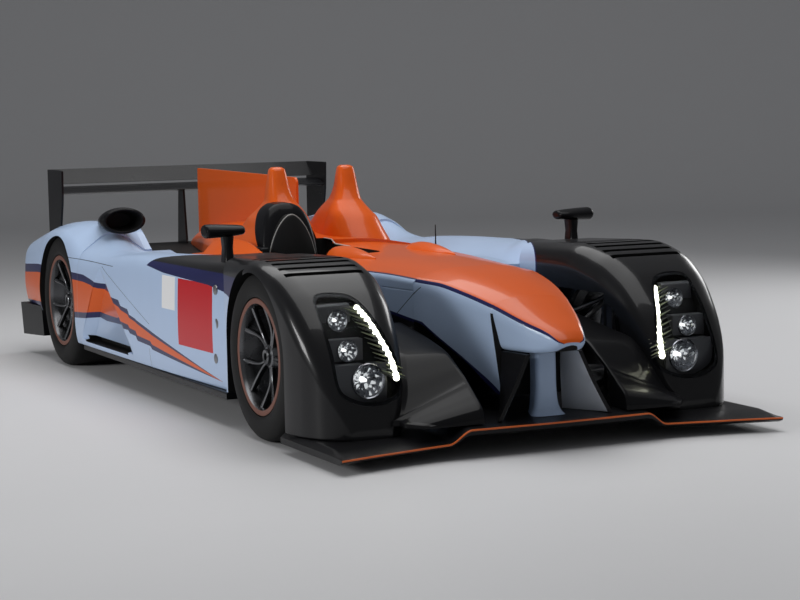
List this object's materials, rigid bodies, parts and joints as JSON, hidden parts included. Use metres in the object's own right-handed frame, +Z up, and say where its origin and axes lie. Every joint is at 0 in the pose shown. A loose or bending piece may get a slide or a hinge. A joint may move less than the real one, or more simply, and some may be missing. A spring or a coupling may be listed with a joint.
{
  "type": "open-cockpit endurance race car",
  "caption": "Low open-cockpit endurance racing car with enclosed wheels, twin roll fairings, tail fin and rear wing.",
  "frame": {"origin": "on the ground below the middle of the car's box", "axes": "+Z up, -Y towards the nose, +X towards the car's left side"},
  "size_m": [1.996, 4.65, 1.078],
  "materials": {
    "body_blue": "gloss pale blue paint over carbon fibre",
    "body_orange": "gloss orange paint over carbon fibre",
    "body_carbon": "clear-coated black carbon fibre",
    "carbon": "satin black carbon fibre",
    "cast_alloy": "machined alloy",
    "cockpit_trim": "matt black trim",
    "wheel_metal": "dark anodised magnesium",
    "steel": "steel tube",
    "tyre": "slick racing rubber",
    "lamp_chrome": "bright reflector",
    "lamp_glass": "clear polycarbonate"
  },
  "bodies": {
    "chassis": {"cowl": "body_orange", "diffuser": "carbon", "engine_block": "cast_alloy", "engine_cover": "body_orange", "floor": "carbon", "front_fender_left": "body_carbon", "front_fender_right": "body_carbon", "front_suspension_left": "steel", "front_suspension_right": "steel", "gearbox": "cast_alloy", "headlamp_bucket_left": "lamp_chrome", "headlamp_bucket_right": "lamp_chrome", "headlamp_lens_left": "lamp_glass", "headlamp_lens_right": "lamp_glass", "headrest": "cockpit_trim", "mirror_left": "carbon", "mirror_right": "carbon", "nose": "body_blue", "nose_pillar": "body_blue", "nose_vane_left": "carbon", "nose_vane_right": "carbon", "rear_deck": "carbon", "rear_fender_left": "body_blue", "rear_fender_right": "body_blue", "rear_suspension_left": "steel", "rear_suspension_right": "steel", "scoop": "carbon", "seat": "cockpit_trim", "side_pod_left": "body_blue", "side_pod_right": "body_blue", "splitter": "carbon", "steering_wheel": "cockpit_trim", "tail_fin": "body_orange", "tub": "body_blue", "wing_endplate_left": "carbon", "wing_endplate_right": "carbon", "wing_flap": "carbon", "wing_main": "carbon"},
    "knuckle_left": {"front_knuckle_left": "cast_alloy"},
    "front_wheel_left": {"front_rim_left": "wheel_metal", "front_tyre_left": "tyre"},
    "rear_wheel_left": {"rear_rim_left": "wheel_metal", "rear_tyre_left": "tyre"},
    "knuckle_right": {"front_knuckle_right": "cast_alloy"},
    "front_wheel_right": {"front_rim_right": "wheel_metal", "front_tyre_right": "tyre"},
    "rear_wheel_right": {"rear_rim_right": "wheel_metal", "rear_tyre_right": "tyre"}
  },
  "joints": [
    {"name": "steer_right", "type": "hinge", "parent": "chassis", "child": "knuckle_right", "pos_m": [-0.73, -1.396, 0.355], "axis": [0, 0, 1], "range_deg": [-14, 14]},
    {"name": "front_wheel_spin_right", "type": "hinge", "parent": "knuckle_right", "child": "front_wheel_right", "pos_m": [-0.795, -1.396, 0.355], "axis": [1, 0, 0], "continuous": true},
    {"name": "rear_wheel_spin_right", "type": "hinge", "parent": "chassis", "child": "rear_wheel_right", "pos_m": [-0.79, 1.573, 0.355], "axis": [1, 0, 0], "continuous": true},
    {"name": "steer_left", "type": "hinge", "parent": "chassis", "child": "knuckle_left", "pos_m": [0.73, -1.396, 0.355], "axis": [0, 0, 1], "range_deg": [-14, 14]},
    {"name": "front_wheel_spin_left", "type": "hinge", "parent": "knuckle_left", "child": "front_wheel_left", "pos_m": [0.795, -1.396, 0.355], "axis": [1, 0, 0], "continuous": true},
    {"name": "rear_wheel_spin_left", "type": "hinge", "parent": "chassis", "child": "rear_wheel_left", "pos_m": [0.79, 1.573, 0.355], "axis": [1, 0, 0], "continuous": true}
  ],
  "couplings": [
    {"joint": "steer_left", "follows": "steer_right", "ratio": 1}
  ]
}
